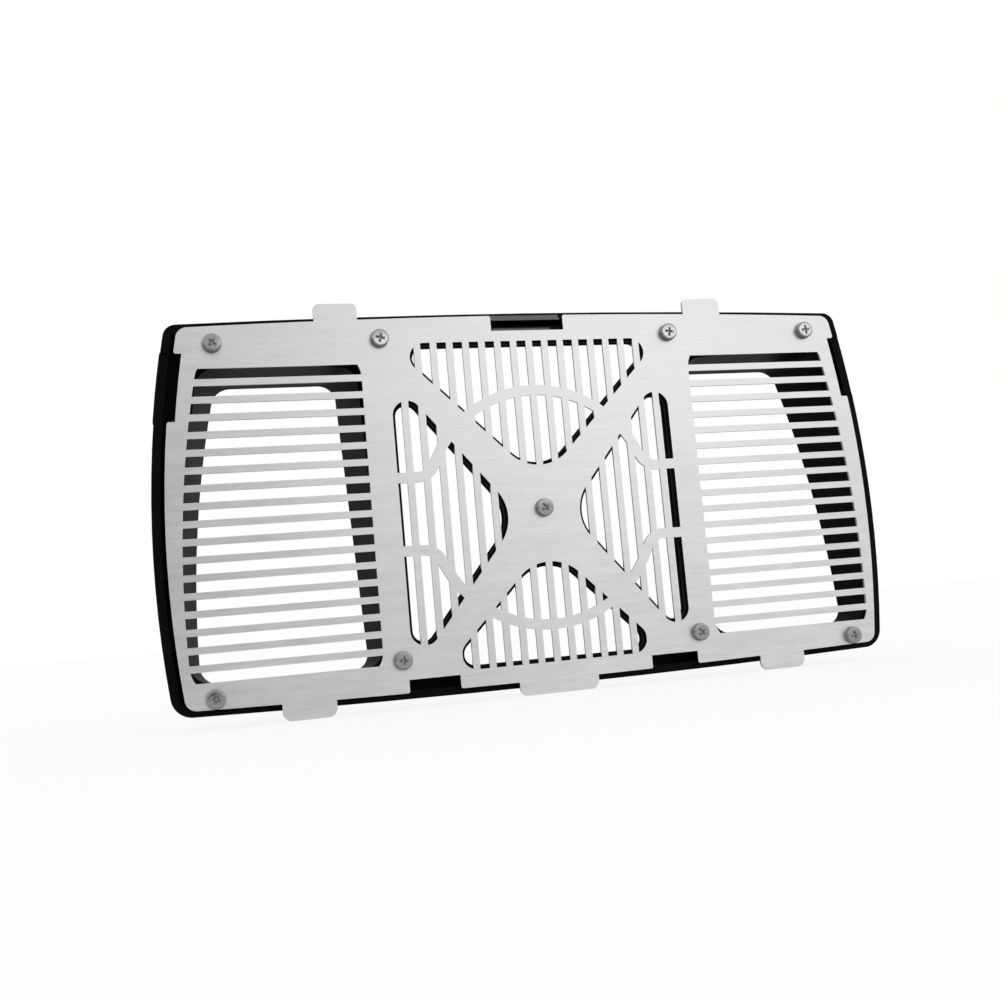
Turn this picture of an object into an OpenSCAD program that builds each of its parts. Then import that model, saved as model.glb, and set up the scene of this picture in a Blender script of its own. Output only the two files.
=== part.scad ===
// Radiator guard for a motorcycle: a slotted steel plate screwed to a moulded rear frame.
// Millimetres. X runs across the guard, Z is up and -Y is the side that faces the road.
// The origin is the middle of the sloping plane on which the two ducts end.
// The modules draw from the plate's front face back, and placed() moves them to the origin.

/* [Plate] */
// Thickness of the steel plate
plate_t = 1.5; // [1:0.1:2]
// Half the width of the plate at its widest
plate_hw = 198.4; // [196:0.2:201]
// Height of the top edge at the middle
plate_top = 104.2; // [103:0.1:105]
// Distance of the bottom edge below the middle
plate_bot = 94.85; // [94:0.05:96]
// Radius of the four outer corners
plate_r = 6; // [4:0.5:8]
// Radius of the bowed side edges
side_r = 582; // [540:2:640]
// Radius of the bowed top edge
top_r = 5000; // [4000:100:7000]
// Radius of the bowed bottom edge
bot_r = 7000; // [5000:100:9000]
// Height at which the side edges are widest
side_z = -16; // [-20:1:-10]
// Depth of the long notches in the side edges
notch_d = 4; // [3:0.5:5]
// Lower end of the side notches
notch_z0 = 52.3; // [50:0.1:55]
// Upper end of the side notches
notch_z1 = 87.3; // [85:0.1:88]
// Half the width of the notch in the top edge
top_notch_hw = 20.8; // [18:0.2:22]
// Depth of the notch in the top edge
top_notch_d = 8.4; // [7:0.1:9]
// Inner end of each notch in the bottom edge
low_notch_x0 = 54.2; // [52:0.2:58]
// Outer end of each notch in the bottom edge
low_notch_x1 = 81.5; // [78:0.2:84]
// Depth of the notches in the bottom edge
low_notch_d = 7.25; // [6:0.05:8]
// Rounding at the mouths of the notches
mouth_r = 1.2; // [0.6:0.2:2]

/* [Tabs] */
// Inner side of each top tab
top_tab_x0 = 94; // [90:1:98]
// Outer side of each top tab
top_tab_x1 = 117; // [112:1:122]
// Height of the top tabs
top_tab_z = 112.1; // [108:0.1:114]
// Corner radius of the top tabs
top_tab_r = 3; // [2:0.5:5]
// Inner side of each outer bottom tab
low_tab_x0 = 119.5; // [115:0.5:124]
// Outer side of each outer bottom tab
low_tab_x1 = 147; // [140:0.5:155]
// Half the width of the middle bottom tab
mid_tab_hw = 22.3; // [18:0.1:26]
// Distance of the bottom tabs below the middle
low_tab_z = 102.2; // [100:0.1:104]
// Corner radius of the bottom tabs
low_tab_r = 4.8; // [3:0.2:6]

/* [Slotted side fields] */
// Distance from one slot to the next
pitch = 9; // [8:0.5:10]
// Height of a slot
slot_h = 5.4; // [4:0.2:6]
// Number of slots in each side field
slot_n = 18; // [14:1:18]
// Inner end of the fields at the top
field_in0 = 93.9; // [92:0.1:97]
// Width of the plate's solid border outside the fields
side_border = 7; // [5.5:0.1:10]
// Radius of the bowed outer end
field_r = 602; // [560:2:660]
// Height at which the outer end is widest
field_z = -44.4; // [-50:0.2:-36]
// Corner radius of the outline on which the slots end
end_r = 14; // [11:0.5:15]
// How far that outline passes the first slot
end_top = 7; // [6:0.1:8]
// How far it passes the last slot
end_bot = 5.8; // [5:0.1:7]

/* [Windows in the middle] */
// Width of a slot in the windows
gap_w = 5.25; // [4:0.25:6]
// Width of the ring across the windows
ring_w = 5.5; // [4:0.1:6]
// Outer radius of the ring
ring_r = 66.8; // [64:0.5:68]
// Height of the middle of the ring
ring_z = -1.7; // [-3:0.2:0]
// Corner radius of the windows
window_r = 8; // [5:0.5:10]
// Upper edge of the top window
top_win_z = 90; // [86:0.5:90]
// Height at which its sloping sides would meet
top_win_v = 11.4; // [10:0.2:14]
// Rounding of its lower corner
top_win_r = 23; // [18:0.5:26]
// Distance of the low window's lower edge below the middle
low_win_z = 85.65; // [82:0.05:86]
// Distance below the middle at which its sloping sides would meet
low_win_v = 22; // [20:0.2:25]
// Rounding of its upper corner
low_win_r = 24; // [18:0.5:26]
// Outer edge of the side windows
side_win_x = 79; // [76:0.5:80]
// Point at which the sloping sides of a side window would meet
side_win_v = 14.1; // [12:0.1:17]
// Height of that point
side_win_z = -5.9; // [-8:0.1:-4]
// Rise of those sides for each millimetre across
side_win_k = 1.22; // [1.1:0.01:1.24]
// Rounding of the inner corner of the side windows
side_win_r = 22; // [18:0.5:25]
// Distance of the level bars from the middle of the ring
bar_z = 16.65; // [14:0.05:18]
// Inner radius of the bends by which the bars leave the ring
bend_r = 7.5; // [5:0.5:9]

/* [Rear frame] */
// Overhang of the frame beyond the plate's sides
rim_over = 6.5; // [5.5:0.1:8]
// Overhang of the frame above the plate
over_top = 2.3; // [1.8:0.1:3.5]
// Overhang of the frame below the plate
over_bot = 3.3; // [2.6:0.05:4]
// Radius of the frame's top edge
rim_rt = 6000; // [5000:100:8000]
// Radius of the frame's upper corners
rim_ct = 7; // [6:0.5:9]
// Radius of the frame's lower corners
rim_cb = 11; // [8:0.5:13]
// Width of the rim's face
rim_w = 4.5; // [3.5:0.1:5]
// Depth of the rim's face behind the plate's front
rim_y = 4.5; // [4:0.1:6]
// Depth of the steps in the rim's face beside the side notches
step_d = 1; // [0.5:0.1:1.5]
// Lower end of the steps
step_z0 = 54; // [52:0.5:56]
// Upper end of the steps
step_z1 = 89; // [87:0.5:90]
// How far the frame's sides stand out beside the steps
step_out = 0.45; // [0.2:0.05:1]
// Depth at which the frame's rear pan ends
pan_y = 15; // [13:0.5:18]
// Wall thickness of the moulding
wall = 2.5; // [2:0.1:3]
// Depth of the rear face of the window web
web_y = 6.1; // [5:0.1:8]
// Depth of the front face of the lip round the web's openings
lip_y = 4.5; // [3.5:0.1:5]
// Inset of the web's openings from the plate's windows
web_in = 1.5; // [1.2:0.1:1.6]
// Inset of the lip
lip_in = 2.15; // [1.8:0.05:2.4]
// Distance of the raised middle's upper edge below the plate's top edge
mid_gap = 6; // [5:0.1:7]
// Distance of its lower edge inside the bottom notches
mid_in = 0.3; // [0.1:0.1:1]
// Distance of the ribs in the frame's groove from the sides of the top notch
rib_off = 0.2; // [0:0.1:1]
// Depth of the side ducts at mid height
duct_y = 30.8; // [28:0.2:34]
// Slope of the ducts' rear ends in degrees
duct_tilt = 7.1; // [5:0.1:9]
// Radius of the ducts' inner corners
duct_ri = 9; // [6:0.5:11]
// Radius of the ducts' outer corners
duct_ro = 10; // [7:0.5:12]
// Inward draft of the ducts' outer walls in degrees
draft_out = 15.2; // [12:0.1:18]
// Inward draft of the ducts' inner walls in degrees
draft_in = 13.3; // [10:0.1:14]
// Downward slope of the ducts in degrees
draft_down = 4.6; // [2:0.1:5]

/* [Screws] */
// Diameter of the screw shanks
screw_d = 5; // [4:0.5:6]
// Diameter of the pan heads
head_d = 10; // [9:0.5:11]
// Height of the pan heads
head_h = 3.6; // [3:0.1:4]
// Length of the screws below the head
screw_len = 12; // [10:0.5:13]
// Clearance of the plate's holes on the diameter
hole_clear = 0.5; // [0.3:0.1:0.8]
// Clearance of the bosses' bores on the diameter
bore_clear = 0.1; // [0.05:0.05:0.2]
// Diameter of the bosses
boss_d = 11; // [10:0.5:12]
// Distance of the outer top screws from the plate's widest point
screw_a = 28.6; // [25:0.1:32]
// Distance of the outer bottom screws from it
screw_b = 19.4; // [17:0.1:23]
// Distance of the outer top screws below the plate's top edge at the middle
screw_top = 12.1; // [11:0.1:14]
// Distance of the inner screws from the middle
screw_c = 83.5; // [82:0.1:85]

/* [Hidden] */
$fn = 96;
eps = 0.01;
// How far a rounding circle passes the edges that it blends, so that they meet cleanly
bite = 0.004;
side_cx = plate_hw - side_r;
field_out = plate_hw - side_border;
field_top = (pitch * (slot_n - 1) + slot_h) / 2;
top_notch_z = plate_top - top_notch_d;
low_notch_z = plate_bot - low_notch_d;
rim_top = plate_top + over_top;
rim_bot = plate_bot + over_bot;
mid_top = plate_top - mid_gap;
mid_bot = low_notch_z - mid_in;
reach = 2 * plate_hw;
win_n = ceil(side_win_x / pitch);
// The screws on the right-hand side as [x, z], and the one in the middle
side_screws = [
    [plate_hw - screw_a, plate_top - screw_top], [screw_c - 0.5, plate_top - screw_top + 0.6],
    [screw_c + 0.5, 17.45 - plate_bot], [plate_hw - screw_b, low_notch_d - plate_bot]
];
screws_at = [
    [0, -2.7], for (s = side_screws) s, for (s = side_screws) [-s[0], s[1]]
];

// Unit vector of v
function unit(v) = v / norm(v);

// The right-hand or left-hand point at which the circles (a, ra) and (b, rb) meet
function meet(a, ra, b, rb, s) =
    let (d = norm(b - a), u = (b - a) / d, k = (ra * ra - rb * rb + d * d) / (2 * d),
         h = sqrt(ra * ra - k * k))
    a + u * k + s * h * [-u[1], u[0]];

// Takes a corner off: c is the centre of the rounding, p and q are where it leaves the edges
module corner_off(c, p, q, r) {
    difference() {
        polygon([c, c + (p - c) * 1.6, c + (p - c) * 1.6 + (q - c) * 1.6, c + (q - c) * 1.6]);
        translate(c) circle(r + bite);
    }
}

// Polygon, anticlockwise, whose corners have the radii of the second list
module rounded(pts, radii) {
    n = len(pts);
    u = [for (i = [0:n - 1]) unit(pts[(i + n - 1) % n] - pts[i])];
    v = [for (i = [0:n - 1]) unit(pts[(i + 1) % n] - pts[i])];
    half = [for (i = [0:n - 1]) acos(u[i] * v[i]) / 2];
    polygon([for (i = [0:n - 1]) each [
        pts[i] + u[i] * radii[i] / tan(half[i]),
        pts[i] + v[i] * radii[i] / tan(half[i])
    ]]);
    for (i = [0:n - 1])
        translate(pts[i] + unit(u[i] + v[i]) * radii[i] / sin(half[i]))
            circle(radii[i] + bite);
}

// The same at the mouth of a notch: c is the centre, d points to the notch's straight side,
// a is the centre of the bowed edge
module mouth(c, d, a, r) {
    corner_off(c, c + d * r, c + unit(c - a) * r, r);
}

// Both mirror images of a shape
module both() {
    children();
    mirror([1, 0]) children();
}

// Bowed outline: gs is its reach beyond the plate's side edges, top and bot its reach from
// the middle, rt and rb the radii of those edges, ct and cb the radii of the corners
module bowed(gs, top, bot, rt, rb, ct, cb) {
    rs = side_r + gs;
    a = [side_cx, side_z];
    t = [0, top - rt];
    b = [0, rb - bot];
    pt = meet(a, rs - ct, t, rt - ct, 1);
    pb = meet(a, rs - cb, b, rb - cb, -1);
    difference() {
        intersection() {
            square([2 * (side_cx + rs) + 40, 2 * top + 40], center = true);
            translate(a) circle(rs, $fn = 720);
            mirror([1, 0]) translate(a) circle(rs, $fn = 720);
            translate(t) circle(rt, $fn = 2880);
            translate(b) circle(rb, $fn = 2880);
        }
        both() {
            corner_off(pt, pt + unit(pt - a) * ct, pt + unit(pt - t) * ct, ct);
            corner_off(pb, pb + unit(pb - a) * cb, pb + unit(pb - b) * cb, cb);
        }
    }
}

// Outline of one side field from the height zb to zt with the corner radii ri and ro,
// grown by g, with its bowed end stretched by k and its two ends slanted by s about the middle
module field(zb, zt, ri, ro, g = 0, k = 1, s = 0) {
    r = field_r * k;
    q = sqrt(pow(r, 2) - pow(field_z, 2));
    t = atan(s);
    a = [
        field_out - r + q - q * cos(t) + field_z * sin(t),
        q * sin(t) + field_z * cos(t)
    ];
    ct = [a[0] + sqrt(pow(r - ro, 2) - pow(zt - ro - a[1], 2)), zt - ro];
    cb = [a[0] + sqrt(pow(r - ro, 2) - pow(zb + ro - a[1], 2)), zb + ro];
    difference() {
        intersection() {
            rounded([
                [field_in0 - g + s * (zt + g), zt + g], [field_in0 - g + s * (zb - g), zb - g],
                [plate_hw + 30, zb - g], [plate_hw + 30, zt + g]
            ], [ri + g, ri + g, 1, 1]);
            translate(a) circle(r + g, $fn = 720);
        }
        corner_off(ct, ct + unit(ct - a) * (ro + g), ct + [0, ro + g], ro + g);
        corner_off(cb, cb + unit(cb - a) * (ro + g), cb + [0, -ro - g], ro + g);
    }
}

// The windows, each drawn smaller by g on every side
module top_window(g) {
    z = top_win_z - g;
    v = top_win_v + g * sqrt(2);
    rounded([[0, v], [z - v, z], [v - z, z]], [top_win_r - g, window_r - g, window_r - g]);
}

module low_window(g) {
    z = g - low_win_z;
    v = -low_win_v - g * sqrt(2);
    rounded([[0, v], [z - v, z], [v - z, z]], [low_win_r - g, window_r - g, window_r - g]);
}

module side_window(g) {
    x0 = side_win_v + g * sqrt(1 + side_win_k * side_win_k) / side_win_k;
    x1 = side_win_x - g;
    h = side_win_k * (x1 - x0);
    rounded([[x0, side_win_z], [x1, side_win_z - h], [x1, side_win_z + h]],
        [side_win_r - g, window_r - g, window_r - g]);
}

module windows(g) {
    top_window(g);
    low_window(g);
    both() side_window(g);
}

// Blends the disc of radius r into the edge at height h by a bend of radius f
module bend(r, h, f) {
    c = [sqrt(pow(r + f, 2) - pow(h + f, 2)), h + f];
    difference() {
        polygon([[0, 0], [c[0], 0], c]);
        translate(c) circle(f + bite);
    }
}

// Disc of radius r with a level band that reaches h from its middle and l to either side
module disc_and_band(r, h, f, l) {
    circle(r);
    square([2 * l, 2 * h], center = true);
    both() {
        bend(r, h, f);
        mirror([0, 1]) bend(r, h, f);
    }
}

// The ring that crosses the windows and bends out into the bars of the side windows
module ring() {
    translate([0, ring_z]) difference() {
        disc_and_band(ring_r, bar_z + ring_w, bend_r, side_win_x + 3);
        disc_and_band(ring_r - ring_w, bar_z, bend_r + ring_w, side_win_x + 4);
    }
}

// The vertical slots of the windows
module window_slots() {
    difference() {
        intersection() {
            windows(0);
            for (k = [-win_n:win_n - 1])
                translate([pitch * (k + 0.5) - gap_w / 2, -plate_bot]) square([gap_w, 2 * plate_top]);
        }
        ring();
    }
}

// The level slots of one side field
module field_slots() {
    intersection() {
        field(-field_top - end_bot, field_top + end_top, end_r, end_r);
        for (k = [0:slot_n - 1])
            translate([field_in0 - 5, field_top - slot_h - pitch * k]) square([plate_hw, slot_h]);
    }
}

// Places its child at each screw, along +Y
module at_screws() {
    for (s = screws_at) translate([s[0], 0, s[1]]) rotate([-90, 0, 0]) children();
}

// Stands a drawing of X and Z up, from depth y over t
module stand(y, t) {
    translate([0, y + t, 0]) rotate([90, 0, 0]) linear_extrude(t) children();
}

module plate_outline() {
    a = [side_cx, side_z];
    t = [0, plate_top - top_r];
    b = [0, bot_r - plate_bot];
    m = mouth_r;
    xt = top_notch_hw + m;
    xi = low_notch_x0 - m;
    xo = low_notch_x1 + m;
    zu = notch_z1 + m;
    zl = notch_z0 - m;
    difference() {
        bowed(0, plate_top, plate_bot, top_r, bot_r, plate_r, plate_r);
        both() {
            difference() {
                translate([plate_hw - 28, notch_z0]) square([40, notch_z1 - notch_z0]);
                translate(a) circle(side_r - notch_d, $fn = 720);
            }
            translate([low_notch_x0, -110]) square([low_notch_x1 - low_notch_x0, 110 - low_notch_z]);
            mouth([xt, t[1] + sqrt(pow(top_r - m, 2) - xt * xt)], [-1, 0], t, m);
            mouth([xi, b[1] - sqrt(pow(bot_r - m, 2) - xi * xi)], [1, 0], b, m);
            mouth([xo, b[1] - sqrt(pow(bot_r - m, 2) - xo * xo)], [-1, 0], b, m);
            mouth([a[0] + sqrt(pow(side_r - m, 2) - pow(zu - a[1], 2)), zu], [0, -1], a, m);
            mouth([a[0] + sqrt(pow(side_r - m, 2) - pow(zl - a[1], 2)), zl], [0, 1], a, m);
        }
        translate([-top_notch_hw, top_notch_z]) square([2 * top_notch_hw, 20]);
    }
    both() {
        rounded([
            [top_tab_x1, plate_top - 6], [top_tab_x1, top_tab_z], [top_tab_x0, top_tab_z],
            [top_tab_x0, plate_top - 6]
        ], [1, top_tab_r, top_tab_r, 1]);
        rounded([
            [low_tab_x0, -plate_bot + 6], [low_tab_x0, -low_tab_z], [low_tab_x1, -low_tab_z],
            [low_tab_x1, -plate_bot + 6]
        ], [1, low_tab_r, low_tab_r, 1]);
    }
    rounded([
        [-mid_tab_hw, -plate_bot + 6], [-mid_tab_hw, -low_tab_z], [mid_tab_hw, -low_tab_z],
        [mid_tab_hw, -plate_bot + 6]
    ], [1, low_tab_r, low_tab_r, 1]);
}

// Moves the drawing to the origin
module placed() {
    translate([0, -duct_y, 0]) children();
}

module front_plate() {
    color([0.75, 0.75, 0.76]) placed() stand(0, plate_t) difference() {
        plate_outline();
        both() field_slots();
        window_slots();
        for (s = screws_at) translate(s) circle(d = screw_d + hole_clear);
    }
}

// Prism of a side field from depth y0 on, leaning inward from the end x by the angle a; the
// slant s keeps its mouth upright under both rotations
module leaning(x, a, g, k, y0) {
    s = -sin(a) * tan(draft_down);
    translate([x, plate_t, 0]) rotate([-draft_down, 0, 0]) rotate([0, 0, a])
        translate([-x, 0, 0]) stand(y0, 70)
            field(-field_top, field_top, duct_ri, duct_ro, g, k, s);
}

// Body of one duct, grown by g, from depth y0 on
module duct(g, y0) {
    intersection() {
        leaning(field_out, draft_out, g, 1 / cos(draft_out), y0);
        leaning(field_in0, -draft_in, g, 1, y0);
    }
}

// The frame's outline, grown by g
module frame_outline(g) {
    bowed(rim_over + g, rim_top + g, rim_bot + g, rim_rt + g, bot_r + g, rim_ct + g, rim_cb + g);
}

// Outline of the raised middle of the frame, grown by g
module middle(g) {
    translate([-field_in0 + 1 - g, -mid_bot - g])
        square([2 * (field_in0 - 1 + g), mid_top + mid_bot + 2 * g]);
}

// Half space in front of the tilted plane on which the ducts end
module before_rear(g) {
    translate([0, duct_y + g, 0]) rotate([-duct_tilt, 0, 0])
        translate([-reach, -reach, -reach]) cube([2 * reach, reach, 2 * reach]);
}

module duct_body() {
    intersection() {
        duct(wall, 0);
        before_rear(0);
        translate([-reach, plate_t, -reach]) cube([2 * reach, reach, 2 * reach]);
    }
}

// Side wall of the frame where it stands out beside a side notch
module step_wall() {
    intersection() {
        stand(rim_y + step_d, pan_y - rim_y - step_d) difference() {
            frame_outline(step_out);
            frame_outline(-rim_w / 2);
        }
        translate([plate_hw - 18, 0, step_z0]) cube([40, 2 * pan_y, step_z1 - step_z0]);
    }
}

// Rib across the frame's groove at the end of the top notch
module notch_rib() {
    translate([top_notch_hw + rib_off, plate_t, mid_top - 1])
        cube([wall, pan_y - wall / 2 - plate_t, mid_gap - 0.5]);
}

// Mirror images of a solid to the left and right
module sides() {
    children();
    mirror([1, 0, 0]) children();
}

module rear_frame() {
    color([0.08, 0.08, 0.08]) placed() difference() {
        union() {
            difference() {
                union() {
                    stand(rim_y, pan_y - rim_y) frame_outline(0);
                    stand(plate_t, pan_y - plate_t) middle(0);
                }
                difference() {
                    stand(0, pan_y - wall) frame_outline(-rim_w);
                    stand(-1, pan_y + 2) middle(0);
                }
                stand(web_y, pan_y) middle(-wall);
            }
            for (s = screws_at)
                translate([s[0], plate_t, s[1]]) rotate([-90, 0, 0])
                    cylinder(d = boss_d, h = pan_y - plate_t);
            sides() {
                duct_body();
                step_wall();
                notch_rib();
            }
        }
        sides() duct(0, -5);
        stand(0, lip_y) windows(web_in);
        stand(lip_y - eps, pan_y) windows(lip_in);
        sides() translate([plate_hw - 18, 0, step_z0]) cube([40, rim_y + step_d, step_z1 - step_z0]);
        at_screws() cylinder(d = screw_d + bore_clear, h = screw_len + 1);
    }
}

module screws() {
    color([0.8, 0.8, 0.8]) placed() at_screws() union() {
        cylinder(d = screw_d, h = screw_len);
        translate([0, 0, -head_h]) cylinder(d = head_d, h = head_h);
    }
}

front_plate();
rear_frame();
screws();
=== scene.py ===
"""Looks of a slotted steel radiator guard on its black moulded frame."""

import math

import bmesh
import bpy
from mathutils import Matrix, Vector


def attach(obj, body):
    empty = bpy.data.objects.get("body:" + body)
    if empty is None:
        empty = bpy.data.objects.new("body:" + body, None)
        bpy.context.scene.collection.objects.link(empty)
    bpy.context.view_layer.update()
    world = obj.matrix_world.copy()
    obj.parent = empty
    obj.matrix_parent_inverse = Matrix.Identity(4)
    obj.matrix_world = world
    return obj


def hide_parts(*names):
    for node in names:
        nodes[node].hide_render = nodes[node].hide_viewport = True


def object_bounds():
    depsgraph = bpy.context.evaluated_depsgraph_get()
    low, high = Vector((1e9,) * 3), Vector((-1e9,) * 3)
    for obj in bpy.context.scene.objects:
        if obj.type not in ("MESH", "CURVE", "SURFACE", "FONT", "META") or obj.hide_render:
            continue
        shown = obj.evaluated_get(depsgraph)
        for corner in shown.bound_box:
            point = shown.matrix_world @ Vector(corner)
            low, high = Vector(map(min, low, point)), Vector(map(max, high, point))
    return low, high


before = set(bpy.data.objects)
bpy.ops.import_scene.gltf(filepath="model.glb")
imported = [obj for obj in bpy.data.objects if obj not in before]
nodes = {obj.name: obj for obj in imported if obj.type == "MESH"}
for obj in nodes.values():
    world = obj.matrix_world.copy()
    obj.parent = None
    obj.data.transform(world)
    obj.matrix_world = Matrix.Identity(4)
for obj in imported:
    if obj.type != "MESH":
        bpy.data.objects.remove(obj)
cad_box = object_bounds()

MM = 0.001
# Where the plate's front face stands along Y, in millimetres
PLATE_FRONT = -30.8

# M5 pan-head screws, in millimetres
HEAD_R = 5.0
HEAD_H = 3.6
# The head's face from its middle out: distance from the axis, and fall below the top. It is
# nearly flat, and its last point is the rim, which is then rounded.
HEAD_FACE = [(0, 0), (3.7, 0.06), (4.65, 0.1)]
RIM_ROUND = 0.7
SHANK_R = 2.5
SHANK_L = 12.0
# Plain neck under the head, pitch and depth of the thread, length of the end without thread,
# and how much thinner the shank is at its tip
NECK = 1.0
PITCH = 0.8
THREAD = 0.3
END_L = 1.2
END_IN = 0.6
# Flat steps round a screw, and the angle in degrees over which its edges look sharp
ROUND_STEPS = 40
SHARP_ANGLE = 35
# Cross recess: half width of its arms, their reach past the core, depth, and the share of
# their width left at the floor
CORE = 0.72
ARM = 2.0
RECESS = 1.6
TAPER = 0.35
# Each screw's place on the plate, x and z, and how far its recess is turned, in degrees
SCREWS = [
    (0.0, -2.7, 58),
    (-169.8, 92.1, 40),
    (-83.0, 92.7, 12),
    (83.0, 92.7, 8),
    (169.8, 92.1, -6),
    (-84.0, -77.4, 3),
    (84.0, -77.4, 50),
    (-179.0, -87.6, 24),
    (179.0, -87.6, 80),
]

# Sloping ledges of the frame that show in the plate's top notch, in millimetres: section as
# y and z, then the left and the right end
LEDGES = [
    (
        "notch_upper_ledge",
        [(-26.2, 105.6), (-29.2, 102.3), (-29.2, 101.9), (-26.2, 101.9)],
        (-25, 19.7),
    ),
    (
        "notch_lower_ledge",
        [(-29.2, 97.6), (-30.05, 96.1), (-30.05, 95.9), (-29.2, 95.9)],
        (-19.6, 13.5),
    ),
]
LEDGE_ROUND = 0.12

# Dark and light tone of each steel, then the plain colours
PLATE_TONES = ("#C2C2C3", "#D1D1D2")
SCREW_TONES = ("#909092", "#9B9B9D")
# The recess tones are lighter than the head's: painted light against the shade in the recess
RECESS_TONES = ("#A0A0A2", "#B0B0B2")
FRAME_BLACK = "#050506"
LEDGE_BLACK = "#0B0B0C"
FLOOR_WHITE = "#F7F7F7"
CARD_BLACK = "#202020"

# Nearly all of a noise lies between these, and of a mix of noises between the second pair
NOISE = (0.3, 0.7)
MIXED = (0.37, 0.63)
# Shares of the smears and then of the clouds in the plate's tone
SMEARED = 0.45
CLOUDED = 0.22
# Share of the slow flow marks in the nylon's gloss
FLOWED = 0.4
# Height of the fine relief of every finish, in millimetres
RELIEF = 0.02

# Camera: where it stands, the directions of its right, its top and its back, its lens and
# sensor in millimetres, and how near and far it sees in metres
CAMERA_AT = Vector((-203.66, -618.85 + PLATE_FRONT, -59.74)) * MM
CAMERA_RIGHT = (0.9590935, -0.2689914, -0.0882235)
CAMERA_UP = (0.0583031, -0.1172734, 0.9913868)
CAMERA_BACK = (-0.2770207, -0.9559763, -0.0967931)
CAMERA_LENS = 43.364
CAMERA_SENSOR = 36.0
CAMERA_RANGE = (0.01, 50)

# Half the floor's side in metres, and how much of it is plain white to the lens and to metal
FLOOR = 12
FLOOR_PLAIN = 0.85
# Strength of the light that falls on dull surfaces from all round
SOFT = 0.92
# Dark card: its place along Y, left, right and top, in metres
CARD = (-1.3, -2.6, -0.05, 0.23)
# Strip lamp aimed at the origin: place, width and height in metres, and watts
STRIP_AT = Vector((0.82, -1.985, 0.54))
STRIP_SIZE = (1.4, 0.3)
STRIP_WATTS = 3.0


def linear(code):
    """The linear colour of an sRGB hex code."""
    channels = [int(code[i : i + 2], 16) / 255 for i in (1, 3, 5)]
    curve = [c / 12.92 if c <= 0.04045 else ((c + 0.055) / 1.055) ** 2.4 for c in channels]
    return (*curve, 1.0)


def new_material(name):
    """An empty material and its node tree."""
    material = bpy.data.materials.new(name)
    material.use_nodes = True
    material.node_tree.nodes.clear()
    return material, material.node_tree


def add(tree, kind, settings=None, **inputs):
    """A node with its settings and inputs; a node or a socket given as an input is linked."""
    node = tree.nodes.new(kind)
    for key, value in (settings or {}).items():
        setattr(node, key, value)
    for key, value in inputs.items():
        socket = node.inputs[int(key[1:]) if key[1:].isdigit() else key.replace("_", " ")]
        if isinstance(value, bpy.types.Node):
            value = next(out for out in value.outputs if out.enabled)
        if isinstance(value, bpy.types.NodeSocket):
            tree.links.new(value, socket)
        else:
            socket.default_value = value
    return node


def grain(tree, waves, detail=2.0, shift=(0, 0, 0)):
    """Noise; a dark and a light grain together are that many mm long in x, y and z."""
    place = add(
        tree,
        "ShaderNodeMapping",
        Vector=add(tree, "ShaderNodeTexCoord").outputs["Object"],
        Location=shift,
        Scale=[1 / (wave * MM) for wave in waves],
    )
    noise = {"Scale": 1.0, "Detail": detail, "Roughness": 0.6}
    return add(tree, "ShaderNodeTexNoise", Vector=place, **noise)


def shaded(tree, colour, share):
    """A colour of which only that share is left."""
    grey = add(tree, "ShaderNodeCombineColor", _0=share, _1=share, _2=share)
    kind = {"data_type": "RGBA", "blend_type": "MULTIPLY"}
    return add(tree, "ShaderNodeMix", kind, _0=1.0, _6=colour, _7=grey)


def painted_shade_by_facing(tree, side, under):
    """Painted shade: the share of colour that the sides of a piece keep, times that of what
    faces down.

    Each is given as the settings of a map: of how much the surface faces front or back, from
    0 to 1, and of how much it faces up, from -1 to 1.
    """
    normal = add(tree, "ShaderNodeTexCoord").outputs["Normal"]
    facing = add(tree, "ShaderNodeSeparateXYZ", Vector=normal).outputs
    flat = add(tree, "ShaderNodeMath", {"operation": "ABSOLUTE"}, _0=facing["Y"])
    side_share = add(tree, "ShaderNodeMapRange", Value=flat, **side)
    under_share = add(tree, "ShaderNodeMapRange", Value=facing["Z"], **under)
    product = {"operation": "MULTIPLY"}
    return add(tree, "ShaderNodeMath", product, _0=side_share, _1=under_share)


def steel(material, share, tones, roughness, relief, strength, shade_share=None):
    """Bare steel whose tone and roughness run with a share from 0 to 1, with a fine relief.

    Its last argument, when given, is painted shade: the share of its colour left on faces in
    shade.
    """
    tree = material.node_tree
    dark, light = (linear(code) for code in tones)
    tone = add(tree, "ShaderNodeMix", {"data_type": "RGBA"}, _0=share, _6=dark, _7=light)
    smooth, dull = roughness
    shader = add(
        tree,
        "ShaderNodeBsdfPrincipled",
        Base_Color=shaded(tree, tone, shade_share) if shade_share else tone,
        Metallic=1.0,
        Roughness=add(tree, "ShaderNodeMapRange", Value=share, To_Min=smooth, To_Max=dull),
        Normal=add(
            tree, "ShaderNodeBump", Strength=strength, Distance=RELIEF * MM, Height=relief
        ),
    )
    add(tree, "ShaderNodeOutputMaterial", Surface=shader)
    return material


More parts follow.
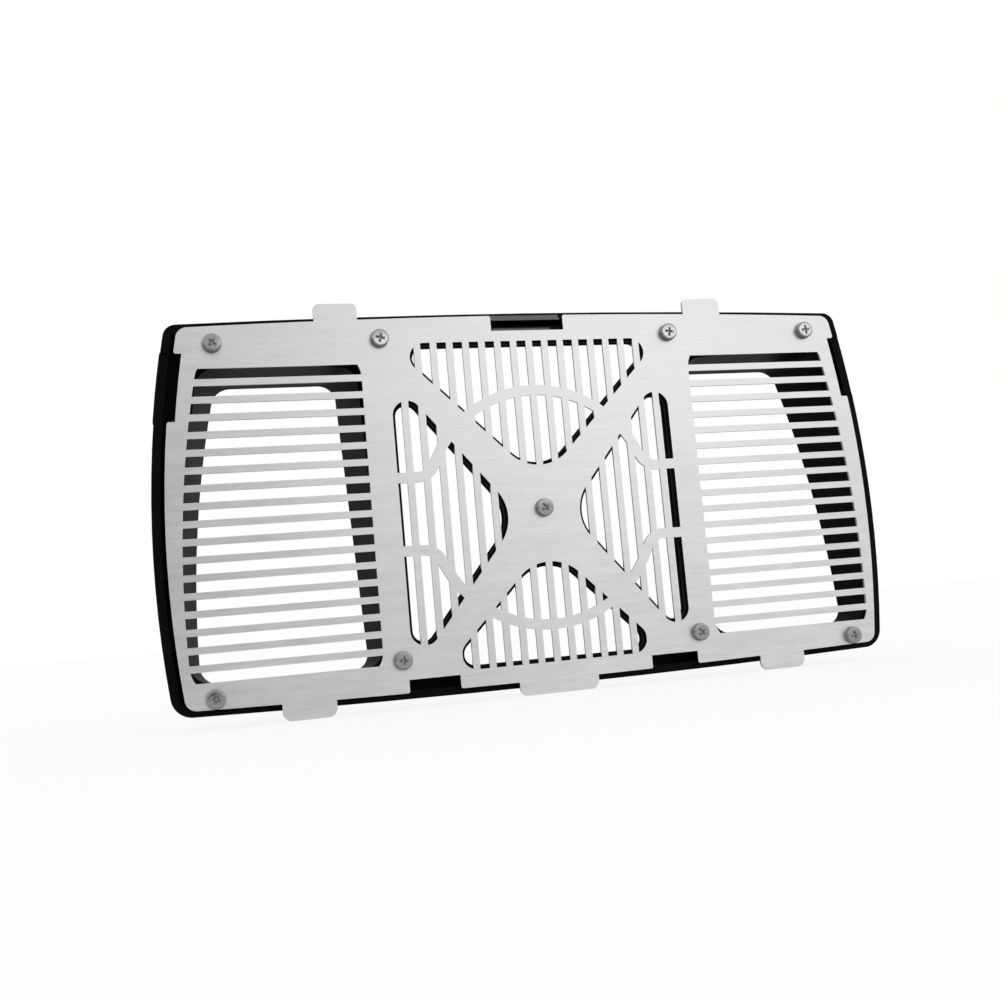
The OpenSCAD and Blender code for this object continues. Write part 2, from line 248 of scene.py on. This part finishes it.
def brushed_stainless():
    """Stainless sheet brushed along its length: a soft grey sheen with fine level hairlines."""
    material, tree = new_material("brushed_stainless_sheet")
    # Real hairlines are about 0.1 mm wide; these are drawn 0.5 mm wide, so that they show
    hairlines = grain(tree, (13, 1, 1))
    # Broader smears that the belt leaves, some 2 mm wide
    smears = grain(tree, (30, 4, 4), shift=(3, 1, 7))
    # Clouds that hands and cloths leave, some 25 mm across
    clouds = grain(tree, (50, 50, 50), shift=(11, 5, 2))
    belt = add(tree, "ShaderNodeMix", _0=SMEARED, _2=hairlines, _3=smears)
    worn = add(tree, "ShaderNodeMix", _0=CLOUDED, _2=belt, _3=clouds)
    low, high = MIXED
    share = add(tree, "ShaderNodeMapRange", Value=worn, From_Min=low, From_Max=high)
    # Painted shade: the walls of the slots are darker than the faces, and those that face down
    # are the darkest.
    shade_share = painted_shade_by_facing(tree, {"To_Min": 0.38}, {"From_Min": -1.0, "From_Max": -0.2, "To_Min": 0.3})
    return steel(
        material,
        share,
        PLATE_TONES,
        roughness=(0.37, 0.43),
        relief=hairlines,
        strength=0.05,
        shade_share=shade_share,
    )


def screw_steel():
    """Stainless screws, tumbled: a smooth, darker grey that mirrors the lamp, with painted
    shade under the head's side.
    """
    material, tree = new_material("tumbled_stainless")
    # Dents of the tumbling, about 0.5 mm
    dents = grain(tree, (1, 1, 1))
    low, high = NOISE
    share = add(tree, "ShaderNodeMapRange", Value=dents, From_Min=low, From_Max=high)
    # Painted light and shade: the head's side is a little lightened, and darkened where it
    # faces down
    side = {"From_Min": 0.35, "To_Min": 1.1}
    shade_share = painted_shade_by_facing(tree, side, {"From_Min": -0.9, "From_Max": 0.1, "To_Min": 0.35})
    return steel(
        material,
        share,
        SCREW_TONES,
        roughness=(0.14, 0.22),
        relief=dents,
        strength=0.15,
        shade_share=shade_share,
    )


def struck_recess():
    """The struck walls of the screws' recesses: bare and a little rough, so they stay grey, and
    lighter than the head as painted light against the shade in the recess.
    """
    material, tree = new_material("struck_steel_recess")
    # Marks of the punch, about 0.3 mm
    marks = grain(tree, (0.6, 0.6, 0.6))
    low, high = NOISE
    share = add(tree, "ShaderNodeMapRange", Value=marks, From_Min=low, From_Max=high)
    return steel(
        material, share, RECESS_TONES, roughness=(0.5, 0.6), relief=marks, strength=0.2
    )


def black_moulding(name, colour, smooth, dull, gloss):
    """Black glass-filled nylon, moulded: near black with a dull sheen and a very fine grain."""
    material, tree = new_material(name)
    # Spark-eroded mould grain, about 0.4 mm
    fine = grain(tree, (0.8, 0.8, 0.8), detail=3.0)
    # Slow change of gloss where the melt cooled unevenly, some 20 mm across
    flow = grain(tree, (40, 40, 40))
    both = add(tree, "ShaderNodeMix", _0=FLOWED, _2=fine, _3=flow)
    low, high = NOISE
    share = {"From_Min": low, "From_Max": high, "To_Min": smooth, "To_Max": dull}
    shader = add(
        tree,
        "ShaderNodeBsdfPrincipled",
        Base_Color=linear(colour),
        Roughness=add(tree, "ShaderNodeMapRange", Value=both, **share),
        IOR=1.5,
        Specular_IOR_Level=gloss,
        Normal=add(tree, "ShaderNodeBump", Strength=0.12, Distance=RELIEF * MM, Height=fine),
    )
    add(tree, "ShaderNodeOutputMaterial", Surface=shader)
    return material


def dress(node, material):
    """Give every slot of a mesh that material."""
    slots = node.material_slots
    if not slots:
        node.data.materials.append(material)
    for slot in slots:
        slot.material = material


def new_object(name, shape):
    """An object from a bmesh, at the origin."""
    mesh = bpy.data.meshes.new(name)
    shape.to_mesh(mesh)
    shape.free()
    piece = bpy.data.objects.new(name, mesh)
    bpy.context.scene.collection.objects.link(piece)
    return piece


def screw_body():
    """One screw along Y: head in front, its seat at y = 0, and the threaded shank behind."""
    shape = bmesh.new()
    outline = [(r, fall - HEAD_H) for r, fall in HEAD_FACE]
    outline += [(HEAD_R, 0), (SHANK_R, 0), (SHANK_R, NECK)]
    along = NECK
    while along < SHANK_L - END_L:
        outline += [(SHANK_R - THREAD, along + PITCH / 2), (SHANK_R, along + PITCH)]
        along += PITCH
    outline += [(SHANK_R - END_IN, SHANK_L), (0, SHANK_L)]
    line = [shape.verts.new((r * MM, y * MM, 0)) for r, y in outline]
    for first, second in zip(line[:-1], line[1:]):
        shape.edges.new((first, second))
    rim = line[len(HEAD_FACE) - 1]
    bmesh.ops.bevel(
        shape,
        geom=[rim],
        offset=RIM_ROUND * MM,
        segments=5,
        profile=0.5,
        affect="VERTICES",
        material=-1,
    )
    bmesh.ops.spin(
        shape,
        geom=shape.verts[:] + shape.edges[:],
        cent=(0, 0, 0),
        axis=(0, 1, 0),
        angle=2 * math.pi,
        steps=ROUND_STEPS,
        use_merge=True,
    )
    bmesh.ops.remove_doubles(shape, verts=shape.verts, dist=0.001 * MM)
    bmesh.ops.recalc_face_normals(shape, faces=shape.faces)
    return new_object("screw_body", shape)


def recess_cutter():
    """The cross cut into the head: a square core with four arms, narrower at the floor."""
    shape = bmesh.new()
    bmesh.ops.create_cube(shape, size=2.0)
    bmesh.ops.scale(shape, verts=shape.verts, vec=Vector((CORE, RECESS, CORE)) * MM)
    for side in [f for f in shape.faces if abs(f.normal.y) < 0.5]:
        arm = bmesh.ops.extrude_discrete_faces(shape, faces=[side])["faces"][0]
        bmesh.ops.translate(shape, verts=arm.verts, vec=arm.normal * ARM * MM)
    # Half of the cutter stands in front of the head and widens as much as the other narrows
    for end, share in ((1, TAPER), (-1, 2 - TAPER)):
        verts = [v for v in shape.verts if v.co.y * end > 0]
        bmesh.ops.scale(shape, verts=verts, vec=(share, 1, share))
    bmesh.ops.translate(shape, verts=shape.verts, vec=(0, -HEAD_H * MM, 0))
    bmesh.ops.recalc_face_normals(shape, faces=shape.faces)
    return new_object("recess_cutter", shape)


def screws():
    """The nine screws as one piece, each turned its own way."""
    finishes = (screw_steel(), struck_recess())
    body = screw_body()
    cutter = recess_cutter()
    for finish in finishes:
        body.data.materials.append(finish)
        cutter.data.materials.append(finish)
    # The cut takes its finish from the cutter, where every face has the second one
    for face in cutter.data.polygons:
        face.material_index = 1
    cut = body.modifiers.new("recess", "BOOLEAN")
    cut.operation = "DIFFERENCE"
    cut.solver = "EXACT"
    cut.object = cutter
    ready = body.evaluated_get(bpy.context.evaluated_depsgraph_get())
    one = bpy.data.meshes.new_from_object(ready)
    shape = bmesh.new()
    for x, z, turn in SCREWS:
        copy = one.copy()
        place = Matrix.Translation(Vector((x, PLATE_FRONT, z)) * MM)
        copy.transform(place @ Matrix.Rotation(math.radians(turn), 4, "Y"))
        shape.from_mesh(copy)
        bpy.data.meshes.remove(copy)
    for face in shape.faces:
        face.smooth = True
    piece = new_object("screw_set", shape)
    for finish in finishes:
        piece.data.materials.append(finish)
    piece.data.set_sharp_from_angle(angle=math.radians(SHARP_ANGLE))
    for spare in (body, cutter):
        bpy.data.objects.remove(spare)
    return piece


def ledge(name, section, ends):
    """A strip along X with that section, its y and z in millimetres, and softened edges."""
    left, right = ends
    shape = bmesh.new()
    end = shape.faces.new([shape.verts.new(Vector((left, y, z)) * MM) for y, z in section])
    grown = bmesh.ops.extrude_face_region(shape, geom=[end])["geom"]
    far = [item for item in grown if isinstance(item, bmesh.types.BMVert)]
    bmesh.ops.translate(shape, verts=far, vec=((right - left) * MM, 0, 0))
    bmesh.ops.bevel(
        shape,
        geom=shape.edges[:],
        offset=LEDGE_ROUND * MM,
        segments=2,
        profile=0.5,
        affect="EDGES",
        material=-1,
    )
    bmesh.ops.recalc_face_normals(shape, faces=shape.faces)
    return new_object(name, shape)


def seen_directly(tree):
    """1 where the ray comes from the lens, or by way of metal or glass."""
    path = add(tree, "ShaderNodeLightPath").outputs
    larger = {"operation": "MAXIMUM"}
    mirrored = add(
        tree, "ShaderNodeMath", larger, _0=path["Is Glossy Ray"], _1=path["Is Transmission Ray"]
    )
    return add(tree, "ShaderNodeMath", larger, _0=path["Is Camera Ray"], _1=mirrored)


def stand(name, corners, material, seen=True):
    """A flat sheet of the studio, from its corners in metres."""
    shape = bmesh.new()
    shape.faces.new([shape.verts.new(corner) for corner in corners])
    sheet = new_object(name, shape)
    dress(sheet, material)
    sheet.visible_camera = seen


def floor():
    """White floor that keeps the guard's shadow."""
    material, tree = new_material("white_floor")
    matt = add(tree, "ShaderNodeBsdfDiffuse", Color=linear(FLOOR_WHITE))
    plain_white = add(tree, "ShaderNodeEmission", Color=(1, 1, 1, 1), Strength=1.0)
    part = {"operation": "MULTIPLY"}
    share = add(tree, "ShaderNodeMath", part, _0=seen_directly(tree), _1=FLOOR_PLAIN)
    mix = add(tree, "ShaderNodeMixShader", _0=share, _1=matt, _2=plain_white)
    add(tree, "ShaderNodeOutputMaterial", Surface=mix)
    low = cad_box[0][2]
    square = ((-FLOOR, -FLOOR), (FLOOR, -FLOOR), (FLOOR, FLOOR), (-FLOOR, FLOOR))
    stand("floor", [(x, y, low) for x, y in square], material)


def dark_card():
    """A card behind the camera, unseen by it, that takes light off the plate's left side."""
    material, tree = new_material("dark_card")
    matt = add(tree, "ShaderNodeBsdfDiffuse", Color=linear(CARD_BLACK))
    add(tree, "ShaderNodeOutputMaterial", Surface=matt)
    y, left, right, top = CARD
    low = cad_box[0][2]
    outline = ((left, low), (right, low), (right, top), (left, top))
    stand("card", [(x, y, z) for x, z in outline], material, seen=False)


def background():
    """A world that is plain white to the lens and to metal, and soft light for the rest."""
    world = bpy.data.worlds.new("studio")
    bpy.context.scene.world = world
    world.use_nodes = True
    tree = world.node_tree
    tree.nodes.clear()
    white = add(tree, "ShaderNodeBackground", Color=(1, 1, 1, 1), Strength=1.0)
    soft = add(tree, "ShaderNodeBackground", Color=(1, 1, 1, 1), Strength=SOFT)
    mix = add(tree, "ShaderNodeMixShader", _0=seen_directly(tree), _1=soft, _2=white)
    add(tree, "ShaderNodeOutputWorld", Surface=mix)


def strip_lamp():
    """The strip lamp on the right, aimed at the origin."""
    light = bpy.data.lights.new("strip", "AREA")
    light.shape = "RECTANGLE"
    light.size, light.size_y = STRIP_SIZE
    light.energy = STRIP_WATTS
    holder = bpy.data.objects.new("strip", light)
    holder.location = STRIP_AT
    holder.rotation_euler = (-STRIP_AT).to_track_quat("-Z", "Y").to_euler()
    bpy.context.scene.collection.objects.link(holder)


def camera():
    """The camera as it was fitted to the rows of slots in the photograph."""
    data = bpy.data.cameras.new("camera")
    data.lens = CAMERA_LENS
    data.sensor_width = CAMERA_SENSOR
    data.clip_start, data.clip_end = CAMERA_RANGE
    holder = bpy.data.objects.new("camera", data)
    axes = Matrix((CAMERA_RIGHT, CAMERA_UP, CAMERA_BACK)).transposed().to_4x4()
    holder.matrix_world = Matrix.Translation(CAMERA_AT) @ axes
    bpy.context.scene.collection.objects.link(holder)
    bpy.context.scene.camera = holder


camera()
dress(nodes["front_plate"], brushed_stainless())
dress(
    nodes["rear_frame"],
    black_moulding("black_moulded_nylon", FRAME_BLACK, smooth=0.52, dull=0.66, gloss=0.06),
)
screw_set = screws()
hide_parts("screws")
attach(screw_set, "root")
# The same nylon where the mould was polished, so that the ledges catch the light
polished = black_moulding(
    "black_nylon_from_polished_tool", LEDGE_BLACK, smooth=0.16, dull=0.24, gloss=1.0
)
for name, section, ends in LEDGES:
    strip = ledge(name, section, ends)
    dress(strip, polished)
    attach(strip, "root")
floor()
dark_card()
background()
strip_lamp()

bpy.context.scene.view_settings.view_transform = "Standard"
